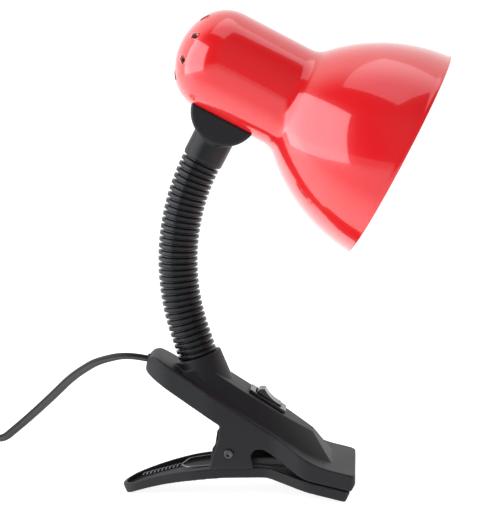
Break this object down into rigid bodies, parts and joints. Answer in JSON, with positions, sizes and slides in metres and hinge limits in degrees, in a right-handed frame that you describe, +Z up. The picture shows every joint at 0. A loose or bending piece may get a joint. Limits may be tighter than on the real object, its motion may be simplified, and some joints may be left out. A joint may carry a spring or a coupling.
{
  "type": "clip-on reading lamp",
  "caption": "Clip-on reading lamp: spring clamp with rocker switch, flexible ringed neck, flared round metal shade around a screw-base bulb, and a mains lead with plug.",
  "frame": {"origin": "on the surface the clip stands on, under the middle of the lamp's length and width, measured without the lead", "axes": "+X from the clip's handles to its jaws and the way the lamp shines, +Y across the clip, +Z up"},
  "size_m": [0.3435, 0.2027, 0.2418],
  "materials": {
    "black_moulding": "fine matte moulded grain",
    "black_satin": "satin moulded",
    "black_gloss": "smooth gloss",
    "black_insulator": "dark glass-like insulator",
    "black_sleeve": "ringed semi-gloss sleeve",
    "black_rubber": "matte rubber",
    "red_enamel": "high-gloss enamel",
    "zinc_steel": "zinc plated",
    "spring_steel": "bright drawn wire",
    "brass": "plain",
    "plug_brass": "nickel plated",
    "bulb_cap_metal": "bright",
    "opal_glass": "opal",
    "cord_sheath": "satin flexible sheath",
    "lead_insulation": "smooth insulation"
  },
  "bodies": {
    "clip": {"upper_shell": "black_moulding", "bottom_cover": "black_moulding", "cover_screws": "zinc_steel", "upper_grip_pad": "black_rubber", "pivot_pin": "zinc_steel", "pin_cap": "zinc_steel", "clamp_spring": "spring_steel", "switch_housing": "black_gloss", "switch_terminals": "brass", "cord_grommet": "black_rubber", "clip_leads": "lead_insulation", "neck_foot": "zinc_steel", "neck_nut": "zinc_steel", "power_cord": "cord_sheath", "cord_coil": "cord_sheath", "cord_tail": "cord_sheath", "coil_tie": "cord_sheath", "plug_body": "black_gloss", "plug_pins": "plug_brass"},
    "lower_jaw": {"lower_jaw": "black_moulding", "lower_grip_pad": "black_rubber"},
    "rocker": {"switch_rocker": "black_gloss"},
    "link_01": {"neck_sleeve_01": "black_sleeve", "neck_core_01": "zinc_steel"},
    "link_02": {"neck_sleeve_02": "black_sleeve", "neck_core_02": "zinc_steel"},
    "link_03": {"neck_sleeve_03": "black_sleeve", "neck_core_03": "zinc_steel"},
    "link_04": {"neck_sleeve_04": "black_sleeve", "neck_core_04": "zinc_steel"},
    "link_05": {"neck_sleeve_05": "black_sleeve", "neck_core_05": "zinc_steel"},
    "link_06": {"neck_sleeve_06": "black_sleeve", "neck_core_06": "zinc_steel"},
    "link_07": {"neck_sleeve_07": "black_sleeve", "neck_core_07": "zinc_steel"},
    "link_08": {"neck_sleeve_08": "black_sleeve", "neck_core_08": "zinc_steel"},
    "link_09": {"neck_sleeve_09": "black_sleeve", "neck_core_09": "zinc_steel"},
    "head": {"neck_top": "zinc_steel", "shade": "red_enamel", "saddle": "black_satin", "head_nipple": "zinc_steel", "head_nut": "zinc_steel", "holder_bracket": "zinc_steel", "holder_body": "black_gloss", "holder_screw": "zinc_steel", "holder_shell": "brass", "holder_contact": "brass", "bulb_cap": "bulb_cap_metal", "bulb_insulator": "black_insulator", "bulb_contact": "brass", "bulb_glass": "opal_glass"}
  },
  "joints": [
    {"name": "jaw_pivot", "type": "hinge", "parent": "clip", "child": "lower_jaw", "pos_m": [-0.0288, 0, 0.0231], "axis": [0, 1, 0], "range_deg": [0, 30], "stiffness_Nm_per_rad": 1.2, "springref_deg": -57.3, "deforming": ["clamp_spring"]},
    {"name": "rocker_pivot", "type": "hinge", "parent": "clip", "child": "rocker", "pos_m": [-0.00967, 0, 0.0459], "axis": [0, 1, 0], "range_deg": [-27, 0]},
    {"name": "neck_bend_1", "type": "hinge", "parent": "clip", "child": "link_01", "pos_m": [-0.04566, 0, 0.07311], "axis": [0.0017, 1, 0.0011], "range_deg": [-13, 8]},
    {"name": "neck_side_1", "type": "hinge", "parent": "link_01", "child": "link_02", "pos_m": [-0.0487, 0, 0.08308], "axis": [0.9582, 0, 0.2861], "range_deg": [-12, 12]},
    {"name": "neck_bend_2", "type": "hinge", "parent": "link_02", "child": "link_03", "pos_m": [-0.05121, 0, 0.0932], "axis": [0.0017, 1, 0.0011], "range_deg": [-13, 8]},
    {"name": "neck_side_2", "type": "hinge", "parent": "link_03", "child": "link_04", "pos_m": [-0.05276, 0, 0.1035], "axis": [0.9947, 0, 0.1023], "range_deg": [-12, 12]},
    {"name": "neck_bend_3", "type": "hinge", "parent": "link_04", "child": "link_05", "pos_m": [-0.05334, 0, 0.11391], "axis": [0.0017, 1, 0.0011], "range_deg": [-13, 8]},
    {"name": "neck_side_3", "type": "hinge", "parent": "link_05", "child": "link_06", "pos_m": [-0.05294, 0, 0.12432], "axis": [0.9964, 0, -0.085], "range_deg": [-12, 12]},
    {"name": "neck_bend_4", "type": "hinge", "parent": "link_06", "child": "link_07", "pos_m": [-0.05157, 0, 0.13465], "axis": [0.0017, 1, 0.0011], "range_deg": [-13, 8]},
    {"name": "neck_side_4", "type": "hinge", "parent": "link_07", "child": "link_08", "pos_m": [-0.04924, 0, 0.1448], "axis": [0.963, 0, -0.2694], "range_deg": [-12, 12]},
    {"name": "neck_bend_5", "type": "hinge", "parent": "link_08", "child": "link_09", "pos_m": [-0.04596, 0, 0.1547], "axis": [0.0017, 1, 0.0011], "range_deg": [-13, 8]},
    {"name": "neck_side_5", "type": "hinge", "parent": "link_09", "child": "head", "pos_m": [-0.04178, 0, 0.16424], "axis": [0.8958, 0, -0.4444], "range_deg": [-12, 12]}
  ],
  "couplings": [
    {"joint": "neck_bend_2", "follows": "neck_bend_1", "ratio": 1},
    {"joint": "neck_side_2", "follows": "neck_side_1", "ratio": 1},
    {"joint": "neck_bend_3", "follows": "neck_bend_1", "ratio": 1},
    {"joint": "neck_side_3", "follows": "neck_side_1", "ratio": 1},
    {"joint": "neck_bend_4", "follows": "neck_bend_1", "ratio": 1},
    {"joint": "neck_side_4", "follows": "neck_side_1", "ratio": 1},
    {"joint": "neck_bend_5", "follows": "neck_bend_1", "ratio": 1},
    {"joint": "neck_side_5", "follows": "neck_side_1", "ratio": 1}
  ]
}
